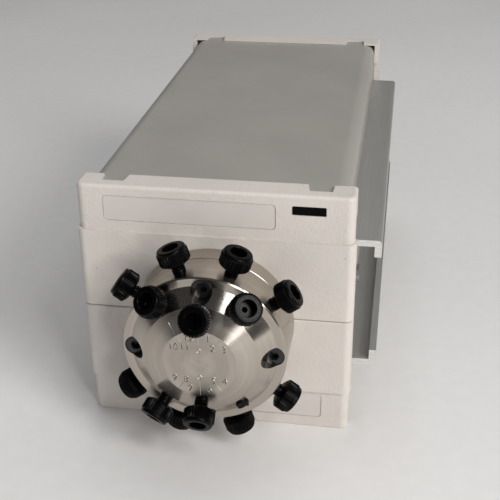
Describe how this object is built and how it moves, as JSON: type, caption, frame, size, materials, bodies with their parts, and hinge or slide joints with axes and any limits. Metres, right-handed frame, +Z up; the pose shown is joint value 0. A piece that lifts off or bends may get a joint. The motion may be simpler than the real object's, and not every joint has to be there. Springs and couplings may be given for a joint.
{
  "type": "hplc selector valve",
  "caption": "Bench module with a turned steel valve head on its front, knurled tube fittings in tiers, a sheet cover, a side clamp rail and a geared drive inside.",
  "frame": {"origin": "middle of the case's underside, on the bench", "axes": "+Z up, +Y from the valve towards the rear sockets, +X towards the clamp rail (right, seen from the front)"},
  "size_m": [0.1086, 0.2485, 0.0961],
  "materials": {
    "case_plastic": "fine moulded grain",
    "window_plastic": "polished black",
    "plate_plastic": "smooth satin",
    "cover_paint": "grey-olive satin paint",
    "sheet_steel": "zinc plated sheet",
    "rail_metal": "grey anodised, bare cut ends",
    "valve_steel": "turned stainless steel",
    "fitting_plastic": "black moulded",
    "black_steel": "black oxide",
    "bright_steel": "ground bright",
    "gear_brass": "machined",
    "seal_polymer": "tan engineering polymer",
    "motor_black": "satin black",
    "board_green": "solder mask",
    "socket_black": "moulded black"
  },
  "bodies": {
    "case": {"front_bezel": "case_plastic", "front_lower_cover": "case_plastic", "rear_bezel": "case_plastic", "status_window": "window_plastic", "name_plate": "plate_plastic", "lower_plate": "plate_plastic", "cover": "cover_paint", "base_tray": "sheet_steel", "rear_panel": "sheet_steel", "rear_screws": "bright_steel", "clamp_rail": "rail_metal", "rail_backing": "sheet_steel", "rail_screws": "bright_steel", "valve_base": "valve_steel", "stator_head": "valve_steel", "spring_stack": "bright_steel", "front_bearing": "bright_steel", "end_bearing": "bright_steel", "valve_bracket": "sheet_steel", "gear_plate_posts": "bright_steel", "gear_plate": "sheet_steel", "position_sensor": "socket_black", "motor": "motor_black", "control_board": "board_green", "board_posts": "bright_steel", "board_parts": "socket_black", "power_inlet": "socket_black", "inlet_blades": "bright_steel", "switch_frame": "socket_black", "serial_socket": "bright_steel", "remote_socket": "bright_steel", "port_stub": "fitting_plastic", "stator_screw_right": "black_steel", "stator_screw_top": "black_steel", "stator_screw_left": "black_steel", "stator_screw_bottom": "black_steel"},
    "valve_rotor": {"valve_shaft": "bright_steel", "rotor_seal": "seal_polymer", "drive_gear": "gear_brass", "encoder_disc": "black_steel"},
    "motor_rotor": {"motor_shaft": "bright_steel", "pinion": "gear_brass"},
    "rocker": {"switch_rocker": "socket_black"},
    "fitting_01_body": {"fitting_01": "fitting_plastic"},
    "fitting_02_body": {"fitting_02": "fitting_plastic"},
    "fitting_03_body": {"fitting_03": "fitting_plastic"},
    "fitting_04_body": {"fitting_04": "fitting_plastic"},
    "fitting_06_body": {"fitting_06": "fitting_plastic"},
    "fitting_07_body": {"fitting_07": "fitting_plastic"},
    "fitting_08_body": {"fitting_08": "fitting_plastic"},
    "fitting_09_body": {"fitting_09": "fitting_plastic"},
    "fitting_10_body": {"fitting_10": "fitting_plastic"},
    "fitting_11_body": {"fitting_11": "fitting_plastic"},
    "fitting_12_body": {"fitting_12": "fitting_plastic"},
    "fitting_upper_body": {"fitting_upper": "fitting_plastic"},
    "fitting_lower_body": {"fitting_lower": "fitting_plastic"}
  },
  "joints": [
    {"name": "valve_turn", "type": "hinge", "parent": "case", "child": "valve_rotor", "pos_m": [0, -0.105, 0.0456], "axis": [0, -1, 0], "continuous": true},
    {"name": "motor_turn", "type": "hinge", "parent": "case", "child": "motor_rotor", "pos_m": [0.01697, -0.0991, 0.06257], "axis": [0, -1, 0], "continuous": true},
    {"name": "rocker_tilt", "type": "hinge", "parent": "case", "child": "rocker", "pos_m": [0.022, 0.0995, 0.024], "axis": [1, 0, 0], "range_deg": [-14, 0]},
    {"name": "fitting_01_turn", "type": "hinge", "parent": "case", "child": "fitting_01_body", "pos_m": [0.00893, -0.1202, 0.07309], "axis": [0.309, 0, 0.9511], "continuous": true},
    {"name": "fitting_02_turn", "type": "hinge", "parent": "case", "child": "fitting_02_body", "pos_m": [0.01352, -0.12895, 0.06421], "axis": [0.4156, -0.7071, 0.5721], "continuous": true},
    {"name": "fitting_03_turn", "type": "hinge", "parent": "case", "child": "fitting_03_body", "pos_m": [0.02338, -0.1202, 0.06259], "axis": [0.809, 0, 0.5878], "continuous": true},
    {"name": "fitting_04_turn", "type": "hinge", "parent": "case", "child": "fitting_04_body", "pos_m": [0.02338, -0.1202, 0.02861], "axis": [0.809, 0, -0.5878], "continuous": true},
    {"name": "fitting_06_turn", "type": "hinge", "parent": "case", "child": "fitting_06_body", "pos_m": [0.00893, -0.1202, 0.01811], "axis": [0.309, 0, -0.9511], "continuous": true},
    {"name": "fitting_07_turn", "type": "hinge", "parent": "case", "child": "fitting_07_body", "pos_m": [-0.00893, -0.1202, 0.01811], "axis": [-0.309, 0, -0.9511], "continuous": true},
    {"name": "fitting_08_turn", "type": "hinge", "parent": "case", "child": "fitting_08_body", "pos_m": [-0.01352, -0.12895, 0.02699], "axis": [-0.4156, -0.7071, -0.5721], "continuous": true},
    {"name": "fitting_09_turn", "type": "hinge", "parent": "case", "child": "fitting_09_body", "pos_m": [-0.02338, -0.1202, 0.02861], "axis": [-0.809, 0, -0.5878], "continuous": true},
    {"name": "fitting_10_turn", "type": "hinge", "parent": "case", "child": "fitting_10_body", "pos_m": [-0.02338, -0.1202, 0.06259], "axis": [-0.809, 0, 0.5878], "continuous": true},
    {"name": "fitting_11_turn", "type": "hinge", "parent": "case", "child": "fitting_11_body", "pos_m": [-0.01352, -0.12895, 0.06421], "axis": [-0.4156, -0.7071, 0.5721], "continuous": true},
    {"name": "fitting_12_turn", "type": "hinge", "parent": "case", "child": "fitting_12_body", "pos_m": [-0.00893, -0.1202, 0.07309], "axis": [-0.309, 0, 0.9511], "continuous": true},
    {"name": "fitting_upper_turn", "type": "hinge", "parent": "case", "child": "fitting_upper_body", "pos_m": [0, -0.13323, 0.062], "axis": [0, -0.866, 0.5], "continuous": true},
    {"name": "fitting_lower_turn", "type": "hinge", "parent": "case", "child": "fitting_lower_body", "pos_m": [0, -0.13323, 0.0292], "axis": [0, -0.866, -0.5], "continuous": true}
  ],
  "couplings": [
    {"joint": "motor_turn", "follows": "valve_turn", "ratio": -3.2857}
  ]
}
